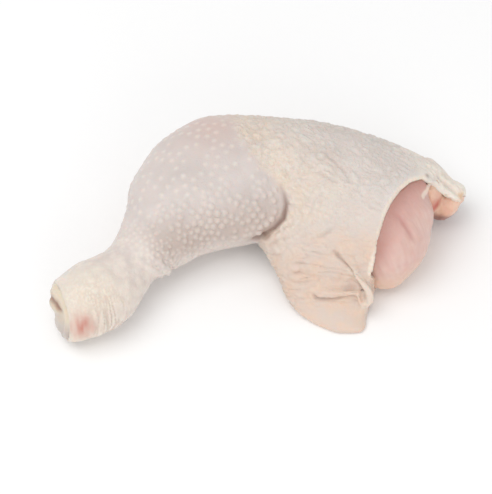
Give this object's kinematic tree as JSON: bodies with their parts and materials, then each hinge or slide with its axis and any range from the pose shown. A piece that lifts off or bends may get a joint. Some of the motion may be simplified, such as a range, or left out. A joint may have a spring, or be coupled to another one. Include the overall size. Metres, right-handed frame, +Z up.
{
  "type": "raw chicken leg quarter",
  "caption": "Raw chicken leg quarter, skin on: drumstick and thigh joined at the knee, with loose flank skin, bare muscle at the hip cut and a cut hock joint.",
  "frame": {"origin": "middle of the underside's bounding box, on the surface that the leg lies on", "axes": "+X from the hock end to the hip end, +Z up with the leg on its inner side"},
  "size_m": [0.1848, 0.1098, 0.0472],
  "materials": {
    "skin": "moist raw chicken skin, pale cream with pinkish grey and yellow fat showing through, small raised feather follicles",
    "meat": "wet raw thigh muscle, pale pink with faint fibres and peach fat",
    "hock_joint": "cream gristle with a reddish brown crevice",
    "back_meat": "peach flesh and fat with a darker red underside"
  },
  "bodies": {
    "root": {"skin": "skin", "meat": "meat", "hock_joint": "hock_joint", "back_meat": "back_meat"}
  },
  "joints": []
}
